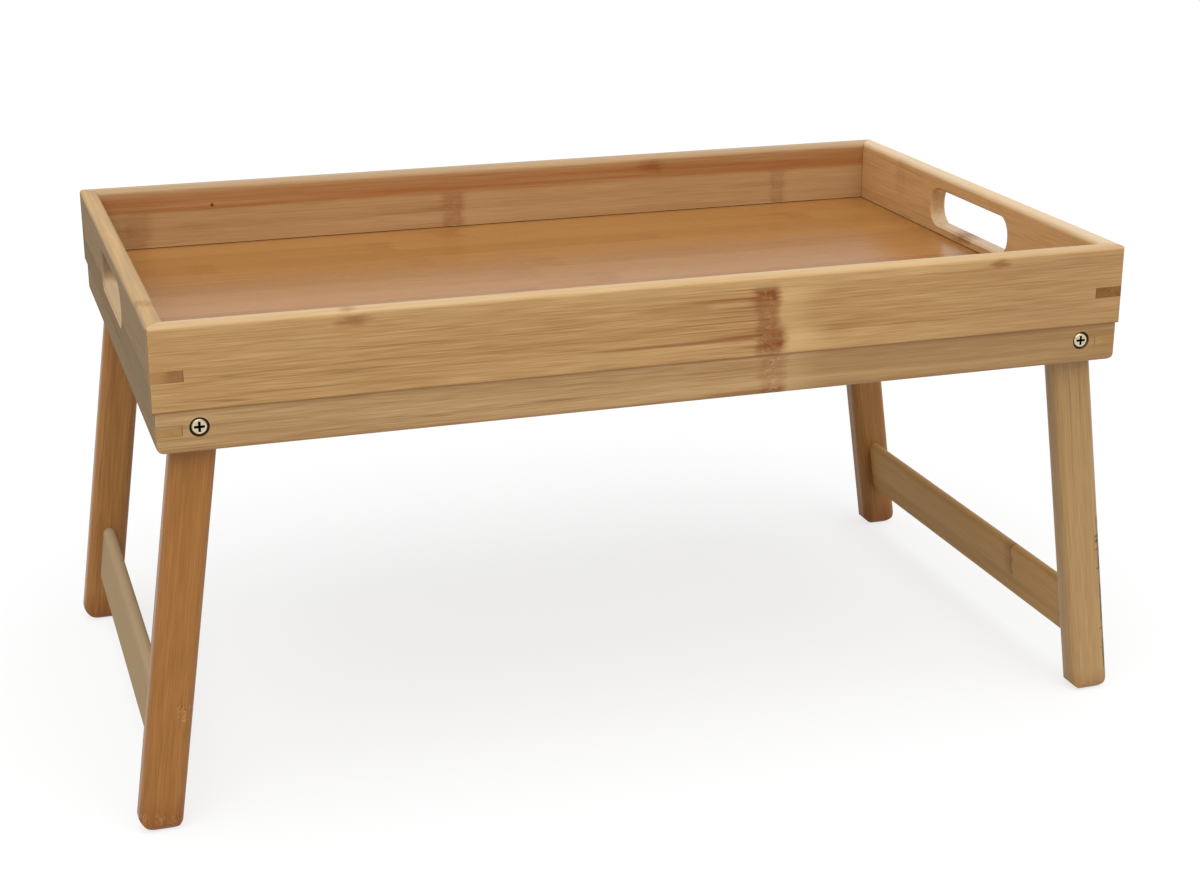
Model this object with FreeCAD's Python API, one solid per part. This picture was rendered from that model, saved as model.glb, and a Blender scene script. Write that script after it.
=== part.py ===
import FreeCAD, Part
import math
import os

# Folding bed tray in bamboo: a mitred tray, a shallow base frame under it and
# two leg frames that turn on bolts and fold flat into the base frame.
# Millimetres. X runs along the tray, -Y is the front, +Z is up.
# The origin is on the floor, below the middle of the tray.

# Tray
tray_length = 436.0
tray_width = 268.0
overall_height = 225.0
board_thickness = 8.4
board_height = 36.2
corner_round = 1.6
rim_outer_round = 2.4
rim_inner_round = 2.8
board_foot_round = 1.2

# Floor panel, the groove that holds it and the lip that it rests on
panel_thickness = 2.2
panel_play = 0.35
panel_bearing = 3.0
groove_end_gap = 0.4
lip_height = 2.8

# Handle slots in the two end boards
slot_length = 81.0
slot_height = 18.4
slot_corner_radius = 8.5
slot_below_rim = 8.1
slot_edge_chamfer = 1.0

# Base frame
base_inset = 1.0
rail_thickness = 6.6
rail_long_round = 1.8
rail_end_round = 4.5
rail_inner_round = 1.0

# Spline keys across the mitres
tray_key_height = 4.8
tray_key_level = 15.0
tray_key_wall = 2.2
base_key_height = 4.6
base_key_level = 9.6
base_key_wall = 1.5

# Legs
leg_width = 19.0
leg_thickness = 13.8
leg_edge_round = 4.5
foot_bulge = 5.0
foot_flat = 3.0
foot_edge_round = 4.5
leg_splay = 8.1
fold_recess = 0.9
fold_clearance = 0.3
stop_gap = 0.3

# Stretchers between the legs
stretcher_thickness = 6.0
stretcher_height = 28.5
stretcher_level = 36.8
tenon_length = 8.0
mortise_clearance = 0.1

# Pivot bolts, washers and threaded inserts
bolt_diameter = 4.0
bolt_head_diameter = 6.8
bolt_head_height = 2.2
bolt_grip = 8.0
cross_length = 4.4
cross_width = 1.1
cross_depth = 1.1
head_chamfer = 0.5
counterbore_gap = 0.7
counterbore_depth = 2.5
running_clearance = 0.05
side_play = 0.05
washer_diameter = 10.0
washer_thickness = 0.8
washer_bore_clearance = 0.1
insert_diameter = 7.0
insert_length = 9.5
insert_clearance = 0.05
thread_clearance = 0.05
insert_bottom_gap = 0.5

# Levels and faces worked out from the sizes above
splay = math.radians(leg_splay)
half_leg = leg_width / 2
foot_radius = (half_leg ** 2 + foot_bulge ** 2) / (2 * foot_bulge)
base_top = overall_height - board_height
rail_height = leg_width + fold_recess + fold_clearance - lip_height
base_bottom = base_top - rail_height
pivot_above_bottom = fold_recess + half_leg
pivot_z = base_bottom + pivot_above_bottom
panel_bottom = base_top + lip_height
base_length = tray_length - 2 * base_inset
base_width = tray_width - 2 * base_inset
rail_inner_x = base_length / 2 - rail_thickness
rail_inner_y = base_width / 2 - rail_thickness
groove_wall = base_inset + rail_thickness - panel_bearing
leg_outer_y = rail_inner_y - washer_thickness - 2 * side_play
leg_inner_y = leg_outer_y - leg_thickness

# The open leg leans on the rounded lower edge of the end rail, which sets
# how far the pivot stands from that rail.
stop_reach = half_leg + stop_gap + rail_inner_round
stop_drop = (pivot_above_bottom - rail_inner_round) * math.sin(splay)
pivot_x = rail_inner_x + rail_inner_round - (stop_reach + stop_drop) / math.cos(splay)


def vector(x, y, z):
    return FreeCAD.Vector(x, y, z)


def block(x0, x1, y0, y1, z0, z1):
    return Part.makeBox(x1 - x0, y1 - y0, z1 - z0, vector(x0, y0, z0))


def rounded_rectangle(u0, u1, v0, v1, radii, place):
    """Face with corner radii in the order low-low, high-low, high-high, low-high."""
    corners = [(u0, v0), (u1, v0), (u1, v1), (u0, v1)]
    ways = [(1, 0), (0, 1), (-1, 0), (0, -1)]
    edges = []
    ends = []
    for (u, v), radius, way_in, way_out in zip(corners, radii, ways[-1:] + ways[:-1], ways):
        first = (u - radius * way_in[0], v - radius * way_in[1])
        last = (u + radius * way_out[0], v + radius * way_out[1])
        ends.append((first, last))
        if radius:
            bulge = radius * (1 - math.sqrt(0.5))
            middle = (
                u + bulge * (way_out[0] - way_in[0]),
                v + bulge * (way_out[1] - way_in[1]),
            )
            edges.append(Part.Arc(place(*first), place(*middle), place(*last)).toShape())
    for (_, last), (first, _) in zip(ends, ends[1:] + ends[:1]):
        if math.dist(first, last) > 1e-6:
            edges.append(Part.makeLine(place(*last), place(*first)))
    return Part.Face(Part.Wire(Part.__sortEdges__(edges)))


def mirrored(shape, side_x, side_y):
    """The piece built at +X +Y, moved to the corner that the two signs name."""
    if side_x < 0:
        shape = shape.mirror(vector(0, 0, 0), vector(1, 0, 0))
    if side_y < 0:
        shape = shape.mirror(vector(0, 0, 0), vector(0, 1, 0))
    return shape


def mitre_wedge(length, width, along_x):
    """Prism that keeps one side of a frame, cut at 45 degrees at both corners."""
    reach = width / 2 if along_x else length / 2
    other = length / 2 if along_x else width / 2
    inner = other - reach
    outline = [(inner, 0), (-inner, 0), (-other, reach), (other, reach)]
    if inner < 0:
        outline = [(0, reach - other), (-other, reach), (other, reach)]
    points = [vector(a, b, 0) if along_x else vector(b, a, 0) for a, b in outline]
    face = Part.Face(Part.makePolygon(points + points[:1]))
    return face.extrude(vector(0, 0, overall_height))


def corner_prism(length, width):
    """Plan of a frame with its standing corners rounded."""
    face = rounded_rectangle(
        -length / 2, length / 2, -width / 2, width / 2,
        [corner_round] * 4, lambda x, y: vector(x, y, 0),
    )
    return face.extrude(vector(0, 0, overall_height))


def base_envelope():
    """Outer form of the base frame: soft lower edges, softer at the two ends."""
    half_length = base_length / 2
    half_width = base_width / 2
    front_view = rounded_rectangle(
        -half_length, half_length, base_bottom, base_top,
        [rail_end_round, rail_end_round, 0, 0], lambda x, z: vector(x, -half_width, z),
    )
    side_view = rounded_rectangle(
        -half_width, half_width, base_bottom, base_top,
        [rail_long_round, rail_long_round, 0, 0], lambda y, z: vector(-half_length, y, z),
    )
    along_y = front_view.extrude(vector(0, base_width, 0))
    along_x = side_view.extrude(vector(base_length, 0, 0))
    return corner_prism(base_length, base_width).common(along_x).common(along_y)


def frame_side(profile_at, length, width, along_x):
    """One mitred side at +Y (along X) or +X (along Y), from its cross-section."""
    outer = width / 2 if along_x else length / 2
    run = length if along_x else width
    if along_x:
        face = profile_at(lambda a, z: vector(-run / 2, outer - a, z))
        bar = face.extrude(vector(run, 0, 0))
    else:
        face = profile_at(lambda a, z: vector(outer - a, -run / 2, z))
        bar = face.extrude(vector(0, run, 0))
    return bar.common(mitre_wedge(length, width, along_x))


def board_profile(place):
    radii = [board_foot_round, 0, rim_inner_round, rim_outer_round]
    return rounded_rectangle(0, board_thickness, base_top, overall_height, radii, place)


def rail_profile(place):
    radii = [0, rail_inner_round, 0, 0]
    return rounded_rectangle(0, rail_thickness, base_bottom, base_top, radii, place)


def corner_key(length, width, thickness, wall, level, height):
    """Flat three-cornered key let into the mitre at +X +Y, flush with both faces."""
    reach = 2 * thickness - wall * math.sqrt(2)
    x = length / 2
    y = width / 2
    points = [vector(x, y, level), vector(x - reach, y, level), vector(x, y - reach, level)]
    face = Part.Face(Part.makePolygon(points + points[:1]))
    key = face.extrude(vector(0, 0, height))
    return key.common(corner_prism(length, width))


def all_corners(shape):
    return [mirrored(shape, side_x, side_y) for side_x in (-1, 1) for side_y in (-1, 1)]


def inside_tray(wall, z0, z1):
    """Block that leaves a wall of the given thickness to the tray's outer faces."""
    x = tray_length / 2 - wall
    y = tray_width / 2 - wall
    return block(-x, x, -y, y, z0, z1)


def panel_seat():
    """The groove, and the lip below it set back in line with the rails, so the legs pass."""
    groove_top = panel_bottom + panel_thickness + panel_play
    groove = inside_tray(groove_wall, panel_bottom, groove_top)
    return groove.fuse(inside_tray(base_inset + rail_thickness, base_top, panel_bottom))


def with_handle_slot(board):
    """Cuts the handle slot through the +X end board and breaks its edges on both faces."""
    top = overall_height - slot_below_rim
    faces_x = (tray_length / 2 - board_thickness, tray_length / 2)
    outline = rounded_rectangle(
        -slot_length / 2, slot_length / 2, top - slot_height, top,
        [slot_corner_radius] * 4, lambda y, z: vector(faces_x[0], y, z),
    )
    board = board.cut(outline.extrude(vector(board_thickness, 0, 0)))
    around_slot = [
        e for e in board.Edges
        if e.BoundBox.XLength < 1e-6
        and e.BoundBox.YMax < slot_length / 2 + 1e-3 and e.BoundBox.YMin > -slot_length / 2 - 1e-3
        and e.BoundBox.ZMax < top + 1e-3 and e.BoundBox.ZMin > top - slot_height - 1e-3
    ]
    return board.makeChamfer(slot_edge_chamfer, around_slot)


def pivot_axis_cylinder(diameter, y_from, y_to):
    """Round bar on the +X +Y pivot axis between two distances from the middle."""
    return Part.makeCylinder(
        diameter / 2, y_to - y_from, vector(pivot_x, y_from, pivot_z), vector(0, 1, 0)
    )


def rail_pivot_hole():
    face_y = base_width / 2
    bore = pivot_axis_cylinder(bolt_diameter + 2 * running_clearance, rail_inner_y, face_y)
    seat = pivot_axis_cylinder(
        bolt_head_diameter + 2 * counterbore_gap, face_y - counterbore_depth, face_y
    )
    return bore.fuse(seat)


def pivot_bolt():
    """Cheese-head bolt with a cross recess; its head lies in the counterbore."""
    head_seat = base_width / 2 - counterbore_depth + side_play
    shank = pivot_axis_cylinder(bolt_diameter, leg_outer_y - bolt_grip, head_seat)
    head = pivot_axis_cylinder(bolt_head_diameter, head_seat, head_seat + bolt_head_height)
    top = head_seat + bolt_head_height
    top_edges = [e for e in head.Edges if e.BoundBox.YMin > top - 1e-6]
    head = head.makeChamfer(head_chamfer, top_edges)
    for long_x, long_z in ((cross_length, cross_width), (cross_width, cross_length)):
        head = head.cut(block(
            pivot_x - long_x / 2, pivot_x + long_x / 2, top - cross_depth, top + cross_depth,
            pivot_z - long_z / 2, pivot_z + long_z / 2,
        ))
    return shank.fuse(head).removeSplitter()


def washer():
    inner = rail_inner_y - side_play - washer_thickness
    outer = rail_inner_y - side_play
    ring = pivot_axis_cylinder(washer_diameter, inner, outer)
    return ring.cut(pivot_axis_cylinder(bolt_diameter + 2 * washer_bore_clearance, inner, outer))


def threaded_insert():
    inner = leg_outer_y - insert_length
    sleeve = pivot_axis_cylinder(insert_diameter, inner, leg_outer_y)
    return sleeve.cut(pivot_axis_cylinder(bolt_diameter + 2 * thread_clearance, inner, leg_outer_y))


def splayed(shape):
    """Turns an upright piece of the +X leg frame about its pivot to the open pose."""
    shape.rotate(vector(pivot_x, 0, pivot_z), vector(0, 1, 0), -leg_splay)
    return shape


def stretcher_centre_drop():
    return (pivot_z - stretcher_level) / math.cos(splay)


def stretcher_bar(grow, y_from, y_to):
    """Slat with fully rounded edges, upright under the pivot; grow widens it all round."""
    half_thickness = stretcher_thickness / 2 + grow
    half_height = stretcher_height / 2 + grow
    centre_z = pivot_z - stretcher_centre_drop()
    face = rounded_rectangle(
        pivot_x - half_thickness, pivot_x + half_thickness,
        centre_z - half_height, centre_z + half_height,
        [half_thickness] * 4, lambda x, z: vector(x, y_from, z),
    )
    return face.extrude(vector(0, y_to - y_from, 0))


def foot_tip():
    """Level of the foot's tip on the upright leg; the splayed leg stands on a narrow flat."""
    centre_height = math.sqrt(foot_radius ** 2 - (foot_flat / 2) ** 2)
    return pivot_z - (pivot_z - centre_height) / math.cos(splay) - foot_radius


def leg_side_view():
    """Upright leg seen from the front: half-round top about the pivot, foot in one arc."""
    def point(across, z):
        return vector(pivot_x + across, leg_inner_y, z)

    tip = foot_tip()
    shoulder = tip + foot_bulge
    crown = Part.Arc(point(-half_leg, pivot_z), point(0, pivot_z + half_leg), point(half_leg, pivot_z))
    foot = Part.Arc(point(half_leg, shoulder), point(0, tip), point(-half_leg, shoulder))
    sides = [Part.makeLine(point(a, pivot_z), point(a, shoulder)) for a in (-half_leg, half_leg)]
    outline = Part.Wire(Part.__sortEdges__([crown.toShape(), foot.toShape()] + sides))
    return Part.Face(outline).extrude(vector(0, leg_thickness, 0))


def leg():
    """Leg at +X +Y: a strip with eased long edges, cut to its side view and splayed."""
    low = foot_tip()
    strip = rounded_rectangle(
        pivot_x - half_leg, pivot_x + half_leg, leg_inner_y, leg_outer_y,
        [leg_edge_round] * 4, lambda x, y: vector(x, y, low),
    ).extrude(vector(0, 0, pivot_z + half_leg - low))
    end_view = rounded_rectangle(
        leg_inner_y, leg_outer_y, 0, overall_height,
        [foot_edge_round, foot_edge_round, 0, 0], lambda y, z: vector(0, y, z),
    ).extrude(vector(tray_length, 0, 0))
    body = splayed(leg_side_view().common(strip)).common(end_view)
    pocket = pivot_axis_cylinder(
        insert_diameter + 2 * insert_clearance,
        leg_outer_y - insert_length - insert_bottom_gap, leg_outer_y,
    )
    mortise = splayed(stretcher_bar(
        mortise_clearance, leg_inner_y - mortise_clearance,
        leg_inner_y + tenon_length + mortise_clearance,
    ))
    return body.cut(pocket).cut(mortise)


def stretcher():
    reach = leg_inner_y + tenon_length
    return splayed(stretcher_bar(0, -reach, reach))


def tray_pieces():
    seat = panel_seat()
    keys = all_corners(corner_key(
        tray_length, tray_width, board_thickness, tray_key_wall,
        base_top + tray_key_level - tray_key_height / 2, tray_key_height,
    ))
    plan = corner_prism(tray_length, tray_width)
    long_board = frame_side(board_profile, tray_length, tray_width, True).common(plan).cut(seat)
    end_board = frame_side(board_profile, tray_length, tray_width, False).common(plan).cut(seat)
    end_board = with_handle_slot(end_board)
    panel_wall = groove_wall + groove_end_gap
    pieces = {
        "tray_front_board": mirrored(long_board, 1, -1).cut(keys),
        "tray_back_board": long_board.cut(keys),
        "tray_left_end": mirrored(end_board, -1, 1).cut(keys),
        "tray_right_end": end_board.cut(keys),
        "tray_floor_panel": inside_tray(panel_wall, panel_bottom, panel_bottom + panel_thickness),
    }
    for name, key in zip(corner_names, keys):
        pieces["tray_key_" + name] = key
    return pieces


def base_pieces():
    keys = all_corners(corner_key(
        base_length, base_width, rail_thickness, base_key_wall,
        base_bottom + base_key_level - base_key_height / 2, base_key_height,
    ))
    hole = rail_pivot_hole()
    envelope = base_envelope()
    long_rail = frame_side(rail_profile, base_length, base_width, True).common(envelope)
    long_rail = long_rail.cut([hole, mirrored(hole, -1, 1)])
    end_rail = frame_side(rail_profile, base_length, base_width, False).common(envelope)
    pieces = {
        "base_front_rail": mirrored(long_rail, 1, -1).cut(keys),
        "base_back_rail": long_rail.cut(keys),
        "base_left_rail": mirrored(end_rail, -1, 1).cut(keys),
        "base_right_rail": end_rail.cut(keys),
    }
    for name, key in zip(corner_names, keys):
        pieces["base_key_" + name] = key
    return pieces


def leg_frame_pieces():
    pieces = {}
    masters = {
        "leg": leg(),
        "pivot_bolt": pivot_bolt(),
        "pivot_washer": washer(),
        "threaded_insert": threaded_insert(),
    }
    for kind, master in masters.items():
        for name, piece in zip(corner_names, all_corners(master)):
            pieces[kind + "_" + name] = piece
    bar = stretcher()
    pieces["stretcher_left"] = mirrored(bar, -1, 1)
    pieces["stretcher_right"] = bar
    return pieces


corner_names = ["front_left", "back_left", "front_right", "back_right"]
os.makedirs("parts", exist_ok=True)
for group in (tray_pieces(), base_pieces(), leg_frame_pieces()):
    for node, shape in group.items():
        solids = shape.Solids
        if len(solids) != 1 or not shape.isValid():
            raise ValueError(node + " is not one sound solid")
        solids[0].exportStep("parts/" + node + ".step")
print("pivot", round(pivot_x, 3), round(pivot_z, 3), "base bottom", round(base_bottom, 3))
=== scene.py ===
import math
from collections import namedtuple

import bpy
from mathutils import Matrix, Vector

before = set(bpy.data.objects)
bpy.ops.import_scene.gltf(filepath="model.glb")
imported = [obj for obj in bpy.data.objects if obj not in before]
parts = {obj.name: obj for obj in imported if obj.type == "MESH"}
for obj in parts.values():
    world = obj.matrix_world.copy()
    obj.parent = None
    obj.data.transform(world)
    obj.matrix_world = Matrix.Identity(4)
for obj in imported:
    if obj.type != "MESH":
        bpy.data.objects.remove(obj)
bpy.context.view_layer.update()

# Looks of a folding bamboo bed tray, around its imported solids.
# Metres. X runs along the tray, -Y is the front, +Z is up.
corners = ("front_left", "back_left", "front_right", "back_right")
x_axis, y_axis, z_axis = range(3)

# Camera: a long lens, a little left of the tray and looking down on it
image_width_px = 1200
focal_length_px = 2128.6
sensor_width_mm = 36.0
camera_place = Vector((-0.3013, -0.9468, 0.4507))
camera_aim = Vector((0.29823, 0.89795, -0.32364))
camera_right = Vector((0.94915, -0.31482, 0.00114))

# Studio light
sky_strength = 0.62
white = 1.0
key_strength = 2.5
key_from = Vector((-0.2, -0.75, 1.6))
key_softness_deg = 70.0
floor_size = 14.0
floor_seen = (0.86, 0.86, 0.86, 1)
floor_bounce = (0.6, 0.6, 0.6, 1)
floor_shadow_share = 0.25
floor_roughness = 0.9

# Places on the object that the materials follow
rim_z = 0.225
board_foot_z = 0.1888
slot_middle_z = 0.212
slot_low_z = 0.208
mitre_offset = 0.084
board_middle_y = 0.1298
key_fade_start_x = 0.2085
key_fade_end_x = 0.2150
leg_skin_back_y = -0.1195
leg_skin_front_y = -0.1225
pivot_x = 0.199153
pivot_z = 0.1818
counterbore_radius = 0.0041
bolt_head_radius = 0.0034
bolt_cross_radius = 0.0024
bolt_head_y = 0.13275
leg_splay = math.radians(8.1)

# Turns that lay a piece's grain along the first coordinate
grain_along_x = (0.0, 0.0, 0.0)
grain_along_y = (0.0, 0.0, math.radians(-90))
grain_left_leg = (0.0, math.radians(90) - leg_splay, 0.0)
grain_right_leg = (0.0, math.radians(90) + leg_splay, 0.0)

# Features of the bamboo per metre: along the grain first, then in both directions across it
cloud_count = (2.6, 26, 26)
streak_count = (4.5, 260, 260)
fibre_count = (15, 1150, 1150)
fleck_count = (50, 2200, 2200)
thread_count = (3, 330, 330)
curl_count = (260, 620, 620)
patch_count = (60, 260, 260)

# Widths of fine marks, and depth and strength of the relief
glue_line_reach = 0.0004
glue_line_solid = 0.0001
mitre_line_reach = 0.00035
edge_wear_and_highlight_reach = 0.0011
key_outline_reach = 0.0005
metal_edge_reach = 0.0003
bamboo_relief = dict(distance=0.00035, strength=0.22)
key_relief = dict(distance=0.0003, strength=0.2)
metal_relief = dict(distance=0.0001, strength=0.15)

# Marks in a board. A glue line has a height and a run along the grain. A knuckle is a joint of the
# cane: it has a place along the grain and runs from low to high. Dark lines are streaks, and painted
# shadow in one seam.
everywhere = (-1.0, 1.0)
GlueLine = namedtuple("GlueLine", "height darkness first last", defaults=everywhere)
Knuckle = namedtuple("Knuckle", "place size redness curls low high", defaults=everywhere)
DarkLine = namedtuple("DarkLine", "height half_width first last share")


class Signal:
    """A value inside a material; sums and products of signals add Math nodes."""

    def __init__(self, graph, socket):
        self.graph = graph
        self.socket = socket

    def __add__(self, other):
        return self.graph.maths("ADD", self, other)

    def __sub__(self, other):
        return self.graph.maths("SUBTRACT", self, other)

    def __mul__(self, other):
        return self.graph.maths("MULTIPLY", self, other)

    def __truediv__(self, other):
        return self.graph.maths("DIVIDE", self, other)

    def __rsub__(self, other):
        return self.graph.maths("SUBTRACT", other, self)

    def size(self):
        return self.graph.maths("ABSOLUTE", self)

    def whole(self):
        return self.graph.maths("FLOOR", self)

    def above(self, limit):
        return self.graph.maths("GREATER_THAN", self, limit)

    def larger(self, other):
        return self.graph.maths("MAXIMUM", self, other)


class Graph:
    """Node tree of one new material with a Principled shader."""

    def __init__(self, name):
        self.material = bpy.data.materials.new(name)
        self.material.use_nodes = True
        self.tree = self.material.node_tree
        self.shader = self.tree.nodes["Principled BSDF"]
        self.own = self.node("ShaderNodeTexCoord")

    def node(self, kind, **settings):
        made = self.tree.nodes.new(kind)
        for setting, value in settings.items():
            setattr(made, setting, value)
        return made

    def feed(self, socket, value):
        """Links a signal to a socket, or sets a constant on it."""
        if isinstance(value, Signal):
            self.tree.links.new(value.socket, socket)
        else:
            socket.default_value = value

    def value(self, number):
        made = self.node("ShaderNodeValue")
        made.outputs[0].default_value = number
        return Signal(self, made.outputs[0])

    def maths(self, operation, *values):
        made = self.node("ShaderNodeMath", operation=operation)
        for socket, value in zip(made.inputs, values):
            self.feed(socket, value)
        return Signal(self, made.outputs[0])

    def length(self, first, second):
        """Length of a right triangle's longest side, from the other two."""
        return self.maths("SQRT", first * first + second * second)

    def ramp(self, value, low, high):
        """0 at low, 1 at high, and a soft rise between them; low may be the larger."""
        made = self.node("ShaderNodeMapRange", interpolation_type="SMOOTHSTEP")
        for socket, fed in zip(made.inputs, (value, low, high, 0.0, 1.0)):
            self.feed(socket, fed)
        return Signal(self, made.outputs[0])

    def window(self, value, start, full, fading, end):
        """1 from full to fading, with a soft fall to 0 at start and at end."""
        return self.ramp(value, start, full) * self.ramp(value, end, fading)

    def near(self, value, reach, solid=0.0):
        """1 where a value is within solid of 0, with a soft fall to 0 at reach."""
        return self.ramp(value.size(), reach, solid)

    def mix(self, share, first, second):
        """Colour between two colours."""
        made = self.node("ShaderNodeMix", data_type="RGBA", clamp_factor=True)
        self.feed(made.inputs["Factor"], share)
        self.feed(made.inputs[6], first)
        self.feed(made.inputs[7], second)
        return Signal(self, made.outputs[2])

    def vector(self, *values):
        made = self.node("ShaderNodeCombineXYZ")
        for socket, value in zip(made.inputs, values):
            self.feed(socket, value)
        return Signal(self, made.outputs[0])

    def split(self, socket):
        made = self.node("ShaderNodeSeparateXYZ")
        self.tree.links.new(socket, made.inputs[0])
        return [Signal(self, part) for part in made.outputs]

    def place(self):
        """The piece's own x, y and z, which move with it."""
        return self.split(self.own.outputs["Object"])

    def facing(self):
        """The x, y and z of the surface's direction, which turn with the piece."""
        return self.split(self.own.outputs["Normal"])

    def turned(self, turn):
        """The piece's own point with its grain along the first coordinate, whole and in parts."""
        mapping = self.node("ShaderNodeMapping")
        mapping.inputs["Rotation"].default_value = turn
        self.tree.links.new(self.own.outputs["Object"], mapping.inputs["Vector"])
        return [Signal(self, mapping.outputs[0])] + self.split(mapping.outputs[0])

    def noise(self, point, per_metre, seed, detail=2.0):
        """Noise about 0, with its own count of features per metre in each direction."""
        scaled = self.node("ShaderNodeVectorMath", operation="MULTIPLY_ADD")
        self.feed(scaled.inputs[0], point)
        scaled.inputs[1].default_value = per_metre
        self.feed(scaled.inputs[2], self.vector(seed, seed, seed))
        made = self.node("ShaderNodeTexNoise", noise_dimensions="3D")
        self.tree.links.new(scaled.outputs[0], made.inputs["Vector"])
        made.inputs["Scale"].default_value = 1.0
        made.inputs["Detail"].default_value = detail
        return Signal(self, made.outputs[0]) - 0.5

    def chance(self, value):
        """A chance number from 0 to 1 for each value."""
        made = self.node("ShaderNodeTexWhiteNoise", noise_dimensions="1D")
        self.feed(made.inputs["W"], value)
        return Signal(self, made.outputs["Value"])

    def edges(self, reach):
        """1 along the edges of the piece and 0 on its flat faces."""
        rounded = self.node("ShaderNodeBevel", samples=4)
        rounded.inputs["Radius"].default_value = reach
        flat = self.node("ShaderNodeNewGeometry")
        agreement = self.node("ShaderNodeVectorMath", operation="DOT_PRODUCT")
        self.tree.links.new(rounded.outputs[0], agreement.inputs[0])
        self.tree.links.new(flat.outputs["Normal"], agreement.inputs[1])
        return self.ramp(Signal(self, agreement.outputs["Value"]), 0.998, 0.93)

    def from_pivot(self):
        """How far a point lies from the nearest leg pivot's axis."""
        x, _, z = self.place()
        return self.length(x.size() - pivot_x, z - pivot_z)

    def bump(self, height, distance, strength):
        made = self.node("ShaderNodeBump")
        made.inputs["Strength"].default_value = strength
        made.inputs["Distance"].default_value = distance
        self.feed(made.inputs["Height"], height)
        self.feed(self.shader.inputs["Normal"], Signal(self, made.outputs[0]))

    def shine(self, level):
        self.shader.inputs["Specular IOR Level"].default_value = level

    def finish(self, base_colour, roughness):
        self.feed(self.shader.inputs["Base Color"], base_colour)
        self.feed(self.shader.inputs["Roughness"], roughness)
        return self.material


def colour(red, green, blue):
    """Linear colour from the 0 to 255 values of a colour chart."""
    def linear(level):
        level = level / 255
        return level / 12.92 if level <= 0.04045 else ((level + 0.055) / 1.055) ** 2.4
    return (linear(red), linear(green), linear(blue), 1)


# Colours of marks and tints
knuckle_red = colour(125, 64, 10)
knuckle_dark = colour(104, 58, 26)
knuckle_pale = colour(206, 164, 112)
knuckle_glow = colour(214, 180, 124)
strip_red = colour(156, 84, 22)
rail_brown = colour(132, 92, 48)
board_shade = colour(140, 104, 70)
slat_brown = colour(112, 80, 46)
line_brown = colour(98, 62, 30)
# Dark streaks, and painted shadow in a seam
streak_and_shadow_brown = colour(126, 76, 34)
panel_amber = colour(142, 84, 28)
# Painted highlights: one per board for faces that look up, and one along the rim's inner edge
front_rim_highlight = colour(194, 166, 122)
back_rim_highlight = colour(157, 136, 104)
left_rim_highlight = colour(197, 163, 119)
right_rim_highlight = colour(199, 180, 149)
rim_inner_highlight = colour(226, 204, 162)
# Painted light on the up-facing lower wall of a handle slot
slot_floor_highlight = colour(216, 190, 156)
# Pale edges: wear, with a painted highlight
edge_wear_and_highlight = colour(196, 160, 112)
end_grain_brown = colour(122, 84, 44)
cane_skin = colour(62, 46, 24)
key_left_painted_sheen = colour(146, 125, 98)
faint_key_end = colour(175, 134, 87)
# Painted shade in holes and recesses
painted_hole_shade = colour(20, 14, 10)

# Pale and deep shade of each bamboo
front_board_wood = (colour(201, 163, 111), colour(158, 115, 64))
back_board_wood = (colour(199, 160, 115), colour(160, 116, 68))
# Grey bamboo of the left end and left rail: its own grey tone, darkened further as painted shade of the
# tray's left side
grey_wood_with_painted_shade = (colour(160, 138, 110), colour(130, 112, 88))
right_end_wood = (colour(224, 184, 130), colour(182, 134, 79))
panel_wood = (colour(169, 120, 64), colour(139, 95, 48))
rail_wood = (colour(184, 148, 102), colour(148, 109, 63))
orange_wood = (colour(167, 113, 53), colour(132, 84, 34))
golden_wood = (colour(173, 121, 61), colour(138, 91, 41))
straw_wood = (colour(182, 147, 98), colour(152, 116, 71))
left_slat_wood = (colour(180, 157, 123), colour(160, 138, 106))
right_slat_wood = (colour(209, 169, 108), colour(174, 131, 79))
clear_key_wood = (colour(143, 103, 58), colour(115, 81, 44))
faint_key_wood = (colour(158, 116, 75), colour(133, 91, 57))
base_key_wood = (colour(176, 140, 94), colour(152, 114, 68))

# Bright and dull shade of each metal
nickel = (colour(226, 214, 186), colour(176, 156, 118))
steel = (colour(196, 196, 194), colour(142, 142, 140))
brass = (colour(212, 176, 104), colour(150, 116, 58))


def one_strip(graph, point, along, depth, up):
    return graph.value(0.0), graph.value(0.0)


def strips_by_height(*glue_lines):
    """Strips one above the other, with a glue line at each change."""
    def strips(graph, point, along, depth, up):
        row = graph.value(0.0)
        line = graph.value(0.0)
        for height, darkness, first, last in glue_lines:
            row = row + up.above(height)
            run = graph.window(along, first, first + 0.03, last - 0.01, last)
            line = line.larger(graph.near(up - height, glue_line_reach, glue_line_solid) * run * darkness)
        fading = graph.ramp(graph.noise(point, (9, 0, 0), 3.3), -0.16, 0.02)
        return row, line * fading
    return strips


def strips_by_width(width, darkness):
    """Strips of one width side by side."""
    def strips(graph, point, along, depth, up):
        across = depth / width
        row = (across + 0.5).whole()
        line = graph.ramp((across - row).size(), 0.5 - glue_line_reach / width, 0.5)
        return row, line * darkness
    return strips


def listed_knuckles(*knuckles):
    """Knuckles at known places."""
    def offsets(graph, along, up, row, seed):
        for place, size, redness, curls, low, high in knuckles:
            soft = min(0.003, (high - low) * 0.3)
            within = graph.window(up, low - soft, low + soft, high - soft, high + soft)
            yield (along - place) / size, within * redness, within * curls
    return offsets


def staggered_knuckles(spacing, size, redness, curls):
    """One knuckle in every stretch of each strip, out of step with its neighbours."""
    def offsets(graph, along, up, row, seed):
        stretches = along / spacing + graph.chance(row + seed) * 5.0
        middle = stretches.whole() + 0.5
        held = graph.chance(row * 3.0 + middle + seed) * 0.7 + 0.3
        yield (stretches - middle) * (spacing / size), held * redness, held * curls
    return offsets


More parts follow.
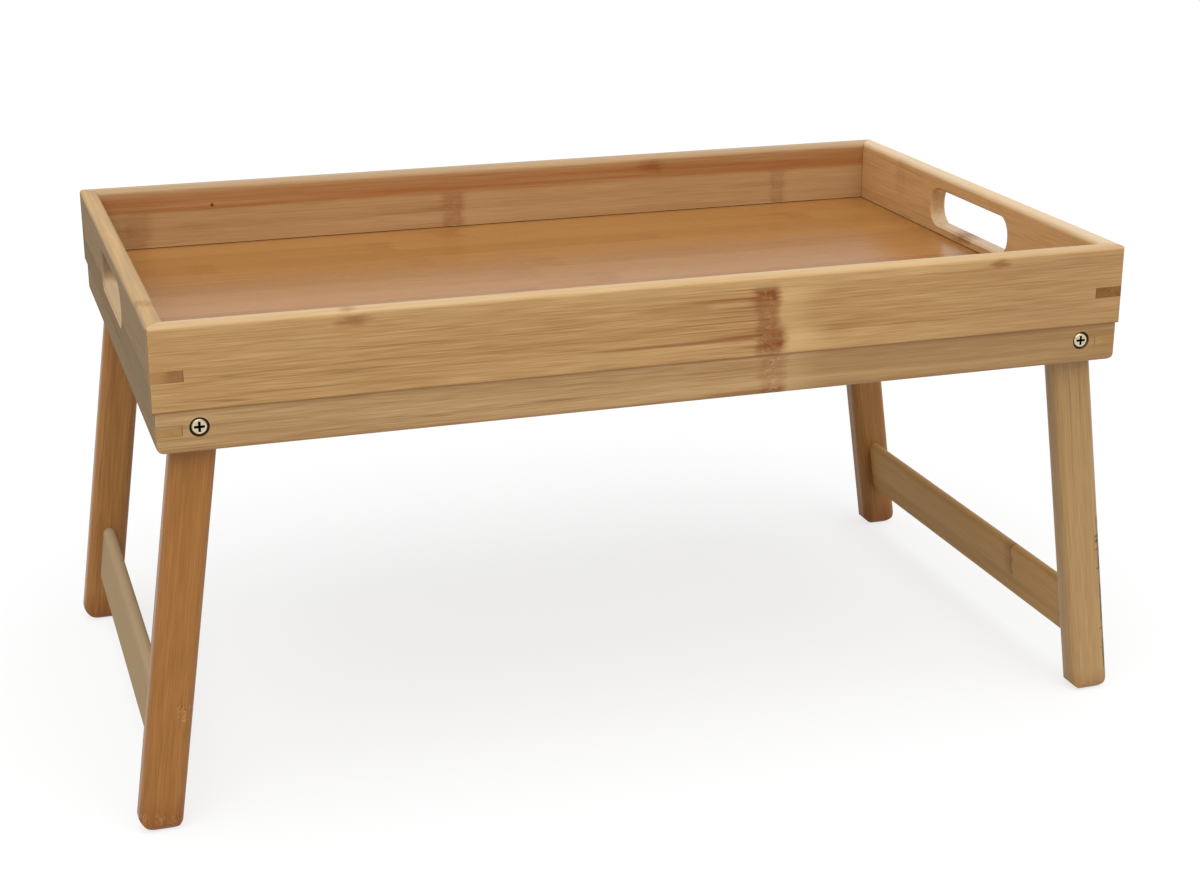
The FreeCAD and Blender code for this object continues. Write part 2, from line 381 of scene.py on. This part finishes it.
def knuckle_marks(graph, point, offsets, seed):
    """Red band, its dark sides, its column of curls, and the glow and trail beside a cane's joint.

    The distances are from the middle of a knuckle of size 1.
    """
    wander = graph.noise(point, (30, 150, 150), seed + 3.1) * 0.010
    wander = wander + graph.noise(point, (60, 700, 700), seed + 4.7) * 0.008
    marks = [graph.value(0.0) for _ in range(5)]
    for offset, redness, curls in offsets:
        away = offset + wander
        band = graph.window(away, -0.0125, -0.0035, 0.0035, 0.0115)
        sides = graph.near(away + 0.0060, 0.0026).larger(graph.near(away - 0.0052, 0.0022))
        core = graph.window(away, -0.0044, -0.0022, 0.0020, 0.0040)
        glow = graph.window(away, 0.0075, 0.012, 0.016, 0.045)
        trail = graph.window(away, -0.075, -0.012, -0.008, -0.004)
        shapes = (band * redness, sides * redness, core * curls, glow * redness, trail * redness)
        marks = [mark.larger(shape) for mark, shape in zip(marks, shapes)]
    return marks


def mitre_lines(graph, point, seen, seed):
    """Dark hairlines where two boards meet at 45 degrees."""
    x, y, _ = graph.place()
    line = graph.near(x.size() - y.size() - mitre_offset, mitre_line_reach, glue_line_solid)
    return graph.mix(line * 0.6, seen, line_brown)


def counterbore_painted_shade(graph, point, seen, seed):
    """Painted shade in the holes round the bolt heads."""
    hole = graph.ramp(graph.from_pivot(), counterbore_radius + 0.0001, counterbore_radius - 0.0001)
    return graph.mix(hole, seen, painted_hole_shade)


def tinted(axis, start, full, share, tint, fade=None):
    """A streaky tint that sets in, and may fade again, along one of the piece's own axes."""
    def tinge(graph, point, seen, seed):
        place = graph.place()[axis]
        streaks = graph.noise(point, (7, 420, 420), seed + 5.9, 3.0) * 2.2 + 1.0
        strength = graph.ramp(place, start, full) * streaks * share
        if fade is not None:
            fade_start, fade_end = fade
            strength = strength * graph.ramp(place, fade_end, fade_start)
        return graph.mix(strength, seen, tint)
    return tinge


def rim_painted_highlight(tint, inner_highlight_share=0.0):
    """Painted highlight: faces that look up are painted a little paler, with a painted cream highlight
    along the rim's inner edge.
    """
    def highlight_rim(graph, point, seen, seed):
        out, back, up = graph.facing()
        x, y, _ = graph.place()
        grain = graph.noise(point, (14, 500, 500), seed + 8.3, 3.0)
        seen = graph.mix(graph.ramp(up, 0.1, 0.75) * (grain * 1.2 + 0.62), seen, tint)
        inward = graph.ramp(out * x + back * y, -0.015, -0.06) * graph.ramp(up, 0.15, 0.5)
        return graph.mix(inward * (grain + 0.6) * inner_highlight_share, seen, rim_inner_highlight)
    return highlight_rim


def slot_floor_painted_light(graph, point, seen, seed):
    """Painted light: the lower wall of a handle slot looks up and is painted paler than the faces."""
    looks_up = graph.ramp(graph.facing()[z_axis], 0.5, 0.9)
    cut = looks_up * graph.ramp(graph.place()[z_axis], slot_middle_z, slot_low_z)
    return graph.mix(cut * 0.5, seen, slot_floor_highlight)


def pin_hole(x_place, z_place, radius):
    """A tiny hole in the inner face of the back board, painted dark as its shade."""
    def hole(graph, point, seen, seed):
        x, y, z = graph.place()
        away = graph.length(x - x_place, z - z_place)
        inner = graph.ramp(y, board_middle_y, board_middle_y - 0.001)
        return graph.mix(graph.ramp(away, radius, radius * 0.4) * inner * 0.8, seen, painted_hole_shade)
    return hole


def soft_knot(axis, place, height, half_length, half_height, share):
    """A small red knot with a soft ragged edge; the axis is the one that the board runs along."""
    def knot(graph, point, seen, seed):
        spot = graph.place()
        out = (spot[axis] - place) / half_length
        rise = (spot[z_axis] - height) / half_height
        ragged = graph.noise(point, (150, 700, 700), seed + 7.1) * 1.4
        away = graph.length(out, rise) + ragged
        return graph.mix(graph.ramp(away, 1.2, 0.1) * share, seen, knuckle_red)
    return knot


def streaks_and_seam_shadow(*streaks):
    """Dark streaks along the grain of a long board, and painted shadow in the seam at its foot."""
    def draw(graph, point, seen, seed):
        x, _, z = graph.place()
        wander = graph.noise(point, (9, 40, 40), seed + 2.2) * 0.0016
        for height, half_width, first, last, share in streaks:
            run = graph.window(x, first, first + 0.03, last - 0.003, last + 0.003)
            line = graph.near(z + wander - height, half_width)
            seen = graph.mix(line * run * share, seen, streak_and_shadow_brown)
        return seen
    return draw


def scar(place, low, high):
    """One thin dark line across a slat's grain, with a soft shade on one side of it."""
    def mark(graph, point, seen, seed):
        _, y, z = graph.place()
        away = y + graph.noise(point, (0, 0, 170), seed + 4.1) * 0.005 - place
        height = graph.window(z, low - 0.002, low + 0.003, high - 0.002, high)
        line = graph.near(away, 0.0014, 0.0003) * 0.55
        shade = graph.window(away, -0.003, 0.001, 0.001, 0.010) * 0.3
        return graph.mix(line.larger(shade) * height, seen, line_brown)
    return mark


def slat_top_painted_shade(graph, point, seen, seed):
    """Painted shade: the upper edge of a slat, under the tray, is painted darker."""
    return graph.mix(graph.ramp(graph.facing()[z_axis], 0.15, 0.6) * 0.3, seen, slat_brown)


def skinned_corner(low, high):
    """Dark cane skin left on a leg's outer front corner, with short ticks across the face."""
    def skin(graph, point, seen, seed):
        _, y, z = graph.place()
        out, _, _ = graph.facing()
        height = graph.window(z, low, low + 0.01, high - 0.004, high)
        ragged = graph.ramp(graph.noise(point, (90, 20, 20), seed + 3.7, 3.0), -0.10, 0.08)
        ticks = graph.ramp(graph.noise(point, (420, 60, 60), seed + 6.9, 1.0), 0.12, 0.18)
        line = graph.ramp(out, 0.30, 0.56) * (ragged * 0.5 + 0.5)
        front = graph.ramp(y, leg_skin_back_y, leg_skin_front_y)
        mark = line.larger(ticks * graph.ramp(out, 0.05, 0.4)) * front
        return graph.mix(mark * height * 0.9, seen, cane_skin)
    return skin


def end_grain(axis, share):
    """Darker cut fibres on faces across the grain; the axis is the piece's own."""
    def cut(graph, point, seen, seed):
        ends = graph.ramp(graph.facing()[axis].size(), 0.6, 0.9)
        dots = graph.ramp(graph.noise(point, (250, 1500, 1500), seed + 9.7), 0.0, 0.12)
        return graph.mix(ends * (dots * 0.5 + 0.5) * share, seen, end_grain_brown)
    return cut


def bamboo(
    name, wood, turn, strips=one_strip, knuckles=None, extras=(), seed=0.0, gloss=0.42,
    figure=1.0, streaks=0.32, strip_spread=0.3, shine=0.3, glow_colour=None,
):
    """Lacquered bamboo: glued strips, long streaks, fibres, joints of the cane with painted shadows
    beside their curls, and worn edges with a painted highlight.
    """
    graph = Graph(name)
    pale, deep = wood
    point, along, depth, up = graph.turned(turn)
    row, joint = strips(graph, point, along, depth, up)
    row_seed = row * 7.31 + seed

    cloud = graph.noise(point, cloud_count, row_seed)
    streak = graph.noise(point, streak_count, row_seed + 1.3, 3.0)
    fibre = graph.noise(point, fibre_count, row_seed + 2.9)
    fleck = graph.noise(point, fleck_count, row_seed + 5.3, 1.0)
    thread = graph.noise(point, thread_count, row_seed + 8.9, 1.0)
    strip_tone = (graph.chance(row + seed) - 0.5) * strip_spread

    grain = streak * streaks + fibre * 0.5 + fleck * 1.3
    seen = graph.mix(cloud * 0.8 + strip_tone + grain * figure + 0.5, pale, deep)
    threads = graph.near(thread, 0.014) * graph.ramp(cloud, -0.08, 0.10)
    seen = graph.mix(threads * figure * 0.42, seen, line_brown)
    relief = fibre * 0.8 + fleck * 0.5 - joint
    if knuckles is not None:
        offsets = knuckles(graph, along, up, row, seed)
        band, sides, core, glow, trail = knuckle_marks(graph, point, offsets, seed)
        patch = graph.ramp(graph.noise(point, patch_count, seed + 6.1), -0.14, 0.14)
        curl = graph.noise(point, curl_count, seed + 7.7)
        seen = graph.mix(glow * 0.5, seen, glow_colour or pale)
        seen = graph.mix(trail * graph.ramp(streak + fibre * 0.8, 0.0, 0.2) * 0.7, seen, knuckle_red)
        seen = graph.mix(band * (patch * 0.28 + 0.7), seen, knuckle_red)
        seen = graph.mix(sides * (patch * 0.35 + 0.06), seen, knuckle_dark)
        # Painted shadow beside each pale curl of the knuckle's core
        seen = graph.mix(core * graph.near(curl + 0.08, 0.06) * 0.45, seen, knuckle_dark)
        seen = graph.mix(core * graph.near(curl, 0.04, 0.005) * 0.45, seen, knuckle_pale)
        relief = relief + core * curl * 3.0
    # Paler along every edge: wear, with a painted highlight
    edge = graph.edges(edge_wear_and_highlight_reach)
    seen = graph.mix(edge * (fleck + 0.5) * 0.3, seen, edge_wear_and_highlight)
    seen = graph.mix(joint, seen, line_brown)
    for extra in extras:
        seen = extra(graph, point, seen, seed)

    graph.shine(shine)
    graph.bump(relief, **bamboo_relief)
    return graph.finish(seen, streak * 0.25 + fleck * 0.2 + edge * 0.08 + gloss)


def key_wood(name, wood, outline, dotted=1.0, faded=None):
    """Keys across the corners: end grain in dots, a glue line round each face, and a painted grey sheen
    on faces that look left.
    """
    graph = Graph(name)
    face, dark = wood
    point, x, _, _ = graph.turned(grain_along_x)
    dots = graph.noise(point, (1400, 1400, 1400), 2.3, 3.0)
    cloud = graph.noise(point, (160, 160, 420), 5.9)
    seen = graph.mix(dots * dotted * 1.6 + cloud * 1.2 + 0.45, face, dark)
    glue = graph.edges(key_outline_reach) * outline
    if faded is not None:
        outward = graph.ramp(x.size(), key_fade_start_x, key_fade_end_x)
        seen = graph.mix(outward * 0.7, seen, faded)
        glue = glue * (1.0 - outward * 0.8)
    seen = graph.mix(glue, seen, line_brown)
    # Painted grey sheen on faces that look left
    looks_left = graph.ramp(graph.facing()[x_axis], -0.4, -0.8)
    seen = graph.mix(looks_left * (0.8 - dots), seen, key_left_painted_sheen)
    graph.shine(0.0)
    graph.bump(dots - glue * 0.6, **key_relief)
    return graph.finish(seen, dots * 0.3 + 0.5)


def metal(name, shades, roughness):
    """Turned metal: faint rings about the pivot, cloudy tarnish, paler worn edges."""
    graph = Graph(name)
    bright, dull = shades
    point, _, y, _ = graph.turned(grain_along_x)
    rings = graph.noise(graph.vector(graph.from_pivot(), y, 0.0), (2600, 900, 1), 1.7)
    cloud = graph.noise(point, (800, 800, 800), 4.1, 3.0)
    edge = graph.edges(metal_edge_reach)
    seen = graph.mix(cloud * 1.3 + rings * 0.9 - edge * 0.3 + 0.4, bright, dull)
    graph.shader.inputs["Metallic"].default_value = 1.0
    graph.bump(rings + cloud, **metal_relief)
    return graph, seen, cloud * 0.3 + roughness


def turned_metal(name, shades, roughness):
    graph, seen, rough = metal(name, shades, roughness)
    return graph.finish(seen, rough)


def bolt_metal(name):
    """Pale nickel with painted shade in the cross recess and down the side of the head."""
    graph, seen, rough = metal(name, nickel, roughness=0.34)
    radius = graph.from_pivot()
    depth = graph.ramp(graph.place()[y_axis].size(), bolt_head_y - 0.0001, bolt_head_y - 0.0003)
    cross = depth * graph.ramp(radius, bolt_cross_radius + 0.0001, bolt_cross_radius)
    side = graph.ramp(radius, bolt_head_radius - 0.0002, bolt_head_radius)
    # Painted shade deep in the cross recess and on the head's side
    recess_shade = cross.larger(side * 0.9)
    return graph.finish(graph.mix(recess_shade, seen, painted_hole_shade), rough + recess_shade * 0.4)


def paint(material, *nodes):
    for node in nodes:
        slots = parts[node].data.materials
        slots.clear()
        slots.append(material)


def paint_long_boards():
    low_split = 0.198
    rim_split = 0.2195
    paint(bamboo(
        "front_board", front_board_wood, grain_along_x,
        strips_by_height(
            GlueLine(low_split, darkness=0.2, first=-0.1, last=0.04), GlueLine(rim_split, darkness=0.15),
        ),
        listed_knuckles(
            Knuckle(0.0440, size=0.6, redness=0.7, curls=0.7, low=board_foot_z, high=rim_split),
            Knuckle(0.0433, size=0.7, redness=1.0, curls=0.3, low=0.2125, high=rim_split),
            Knuckle(0.0465, size=0.72, redness=1.0, curls=0.4, low=0.1905, high=0.2015),
        ),
        extras=(
            streaks_and_seam_shadow(
                DarkLine(low_split - 0.0005, half_width=0.0011, first=-0.045, last=0.039, share=0.75),
                DarkLine(0.2130, half_width=0.0030, first=-0.030, last=0.018, share=0.3),
                DarkLine(0.2035, half_width=0.0007, first=-0.16, last=-0.045, share=0.3),
                DarkLine(0.2075, half_width=0.0009, first=0.0, last=0.038, share=0.3),
                # Painted shadow in the seam between the board's foot and the rail below it
                DarkLine(0.1890, half_width=0.0010, first=-0.25, last=0.22, share=0.45),
            ),
            mitre_lines,
            tinted(x_axis, start=0.09, full=0.19, share=0.22, tint=board_shade),
            rim_painted_highlight(front_rim_highlight, inner_highlight_share=1.0),
            soft_knot(x_axis, 0.155, height=0.2212, half_length=0.0062, half_height=0.0026, share=0.68),
            soft_knot(x_axis, -0.1354, height=0.2205, half_length=0.0085, half_height=0.0030, share=0.6),
            soft_knot(x_axis, -0.1372, height=0.2252, half_length=0.0040, half_height=0.0014, share=0.45),
        ),
        seed=1.7, figure=0.85, glow_colour=knuckle_glow,
    ), "tray_front_board")

    split = 0.2125
    dark_strip = dict(start=split - 0.0014, full=split + 0.0008, fade=(0.2190, 0.2228))
    paint(bamboo(
        "back_board", back_board_wood, grain_along_x,
        strips_by_height(GlueLine(split, darkness=0.3)),
        listed_knuckles(
            Knuckle(-0.191, size=0.7, redness=0.25, curls=0.3, low=board_foot_z, high=split),
            Knuckle(-0.027, size=0.70, redness=0.40, curls=0.4, low=board_foot_z, high=split),
            Knuckle(0.158, size=0.5, redness=0.3, curls=0.3, low=board_foot_z, high=split),
        ),
        extras=(
            mitre_lines,
            tinted(z_axis, share=0.5, tint=strip_red, **dark_strip),
            tinted(x_axis, start=0.04, full=0.10, share=0.12, tint=rail_brown),
            soft_knot(x_axis, 0.084, height=0.2193, half_length=0.0085, half_height=0.0045, share=0.6),
            pin_hole(x_place=-0.1534, z_place=0.2142, radius=0.0012),
            rim_painted_highlight(back_rim_highlight),
        ),
        seed=12.3, figure=0.6, streaks=1.1,
    ), "tray_back_board")


def paint_end_boards():
    strips = strips_by_height(GlueLine(0.203, darkness=0.25))
    paint(bamboo(
        "left_end", grey_wood_with_painted_shade, grain_along_y, strips,
        extras=(
            mitre_lines, end_grain(y_axis, share=0.3), rim_painted_highlight(left_rim_highlight), slot_floor_painted_light,
            soft_knot(y_axis, -0.098, height=0.2250, half_length=0.0065, half_height=0.0022, share=0.28),
        ),
        seed=23.1, shine=0.0, gloss=0.55, figure=0.7,
    ), "tray_left_end")
    paint(bamboo(
        "right_end", right_end_wood, grain_along_y, strips,
        listed_knuckles(Knuckle(0.078, size=0.6, redness=0.15, curls=0.2, low=0.205, high=rim_z)),
        extras=(
            mitre_lines, end_grain(y_axis, share=0.3), rim_painted_highlight(right_rim_highlight),
            soft_knot(y_axis, 0.006, height=0.1985, half_length=0.011, half_height=0.006, share=0.72),
        ),
        seed=31.9, figure=0.65,
    ), "tray_right_end")


def paint_panel():
    paint(bamboo(
        "floor_panel", panel_wood, grain_along_x, strips_by_width(width=0.0186, darkness=0.12),
        staggered_knuckles(spacing=0.23, size=0.8, redness=0.3, curls=0.2),
        extras=(tinted(x_axis, start=0.02, full=0.2, share=0.22, tint=panel_amber),),
        seed=5.3, gloss=0.22, figure=0.34, strip_spread=0.36, shine=0.25,
    ), "tray_floor_panel")


def paint_keys():
    clear = key_wood("tray_key", clear_key_wood, outline=0.5)
    faint = key_wood("faint_tray_key", faint_key_wood, outline=0.7, dotted=0.5, faded=faint_key_end)
    base = key_wood("base_key", base_key_wood, outline=0.8, dotted=0.4)
    paint(faint, "tray_key_front_left", "tray_key_back_right")
    paint(clear, "tray_key_front_right", "tray_key_back_left")
    paint(base, *["base_key_" + corner for corner in corners])


def paint_rails():
    brown_end = tinted(x_axis, start=0.045, full=0.075, share=0.42, tint=rail_brown)
    long_rail = dict(
        extras=(mitre_lines, counterbore_painted_shade, brown_end),
        figure=1.1, streaks=1.6, glow_colour=knuckle_glow,
    )
    paint(bamboo(
        "front_rail", rail_wood, grain_along_x, seed=41.3,
        knuckles=listed_knuckles(
            Knuckle(0.048, size=0.7, redness=0.35, curls=1.0),
            Knuckle(0.048, size=0.65, redness=0.7, curls=0.2, low=0.171, high=0.1745),
        ),
        **long_rail,
    ), "base_front_rail")
    paint(bamboo(
        "back_rail", rail_wood, grain_along_x, seed=47.9,
        knuckles=listed_knuckles(Knuckle(-0.11, size=0.8, redness=0.4, curls=0.5)),
        **long_rail,
    ), "base_back_rail")
    for side, wood, seed in (("left", grey_wood_with_painted_shade, 53.3), ("right", rail_wood, 59.1)):
        rail = bamboo(side + "_rail", wood, grain_along_y, seed=seed, extras=(mitre_lines,), shine=0.0)
        paint(rail, "base_" + side + "_rail")


def paint_legs():
    knuckles_by_leg = {
        "front_left": listed_knuckles(
            Knuckle(0.023, size=1.3, redness=0.1, curls=1.0, low=0.2133, high=0.2205),
            Knuckle(-0.026, size=0.9, redness=0.0, curls=0.8),
        ),
        "back_left": listed_knuckles(Knuckle(0.12, size=0.7, redness=0.15, curls=0.1)),
        "front_right": None,
        "back_right": listed_knuckles(Knuckle(0.1, size=0.7, redness=0.15, curls=0.1)),
    }
    red_foot = (
        end_grain(z_axis, share=0.6),
        tinted(z_axis, start=0.020, full=0.003, share=0.5, tint=knuckle_red),
    )
    skinned_leg = (
        end_grain(z_axis, share=0.4),
        tinted(z_axis, start=0.014, full=0.002, share=0.25, tint=knuckle_red),
        skinned_corner(low=0.003, high=0.092),
    )
    looks = {
        "front_left": (orange_wood, grain_left_leg, red_foot, 61.7),
        "back_left": (golden_wood, grain_left_leg, red_foot, 67.3),
        "front_right": (straw_wood, grain_right_leg, skinned_leg, 73.9),
        "back_right": (golden_wood, grain_right_leg, red_foot, 79.7),
    }
    for corner, (wood, turn, extras, seed) in looks.items():
        knuckles = knuckles_by_leg[corner]
        leg = bamboo("leg_" + corner, wood, turn, knuckles=knuckles, extras=extras, seed=seed)
        paint(leg, "leg_" + corner)


def paint_slats():
    low_strip = 0.0335
    slat_top = 0.055
    strip_edge = dict(start=low_strip + 0.0005, full=low_strip - 0.0005)
    paint(bamboo(
        "slat_left", left_slat_wood, grain_along_y, seed=83.1, figure=0.3, shine=0.0,
    ), "stretcher_left")
    paint(bamboo(
        "slat_right", right_slat_wood, grain_along_y,
        extras=(
            tinted(z_axis, share=0.15, tint=slat_brown, **strip_edge),
            scar(place=-0.055, low=low_strip, high=slat_top), slat_top_painted_shade,
        ),
        seed=89.7, figure=0.4, shine=0.05,
    ), "stretcher_right")


def paint_metal():
    bolt = bolt_metal("nickel_bolt")
    washer = turned_metal("steel_washer", steel, roughness=0.36)
    insert = turned_metal("brass_insert", brass, roughness=0.38)
    for corner in corners:
        paint(bolt, "pivot_bolt_" + corner)
        paint(washer, "pivot_washer_" + corner)
        paint(insert, "threaded_insert_" + corner)


def make_camera():
    data = bpy.data.cameras.new("camera")
    data.sensor_width = sensor_width_mm
    data.lens = focal_length_px / image_width_px * sensor_width_mm
    camera = bpy.data.objects.new("camera", data)
    bpy.context.scene.collection.objects.link(camera)
    look = camera_aim.normalized()
    right = (camera_right - look * camera_right.dot(look)).normalized()
    turn = Matrix((right, right.cross(look), -look)).transposed()
    camera.matrix_world = Matrix.Translation(camera_place) @ turn.to_4x4()
    bpy.context.scene.camera = camera


def seen_directly(tree):
    """1 for rays from the camera, from gloss and through glass, 0 for rays that light things."""
    path = tree.nodes.new("ShaderNodeLightPath")
    total = path.outputs["Is Camera Ray"]
    for ray in ("Is Glossy Ray", "Is Transmission Ray"):
        larger = tree.nodes.new("ShaderNodeMath")
        larger.operation = "MAXIMUM"
        tree.links.new(total, larger.inputs[0])
        tree.links.new(path.outputs[ray], larger.inputs[1])
        total = larger.outputs[0]
    return total


def make_world():
    world = bpy.data.worlds.new("studio")
    world.use_nodes = True
    tree = world.node_tree
    background = tree.nodes["Background"]
    background.inputs["Color"].default_value = (1, 1, 1, 1)
    level = tree.nodes.new("ShaderNodeMapRange")
    level.inputs["To Min"].default_value = sky_strength
    level.inputs["To Max"].default_value = white
    tree.links.new(seen_directly(tree), level.inputs["Value"])
    tree.links.new(level.outputs[0], background.inputs["Strength"])
    bpy.context.scene.world = world


def make_key_light():
    data = bpy.data.lights.new("key", "SUN")
    data.energy = key_strength
    data.angle = math.radians(key_softness_deg)
    lamp = bpy.data.objects.new("key", data)
    lamp.rotation_mode = "QUATERNION"
    lamp.rotation_quaternion = (-key_from).to_track_quat("-Z", "Y")
    bpy.context.scene.collection.objects.link(lamp)


def make_floor():
    """White sweep: mostly even white where it is seen, with a faint share of real shadow."""
    half = floor_size / 2
    outline = [(-half, -half, 0), (half, -half, 0), (half, half, 0), (-half, half, 0)]
    mesh = bpy.data.meshes.new("floor")
    mesh.from_pydata(outline, [], [(0, 1, 2, 3)])
    floor = bpy.data.objects.new("floor", mesh)
    bpy.context.scene.collection.objects.link(floor)
    graph = Graph("floor")
    direct = Signal(graph, seen_directly(graph.tree))
    graph.finish(graph.mix(direct, floor_bounce, floor_seen), floor_roughness)
    graph.shine(0.0)
    even = graph.node("ShaderNodeEmission")
    even.inputs["Strength"].default_value = white
    both = graph.node("ShaderNodeMixShader")
    graph.feed(both.inputs[0], direct * (1.0 - floor_shadow_share))
    graph.tree.links.new(graph.shader.outputs[0], both.inputs[1])
    graph.tree.links.new(even.outputs[0], both.inputs[2])
    graph.tree.links.new(both.outputs[0], graph.tree.nodes["Material Output"].inputs["Surface"])
    mesh.materials.append(graph.material)


bpy.context.scene.view_settings.view_transform = "Standard"
make_camera()
make_world()
make_key_light()
make_floor()
paint_long_boards()
paint_end_boards()
paint_panel()
paint_rails()
paint_keys()
paint_legs()
paint_slats()
paint_metal()
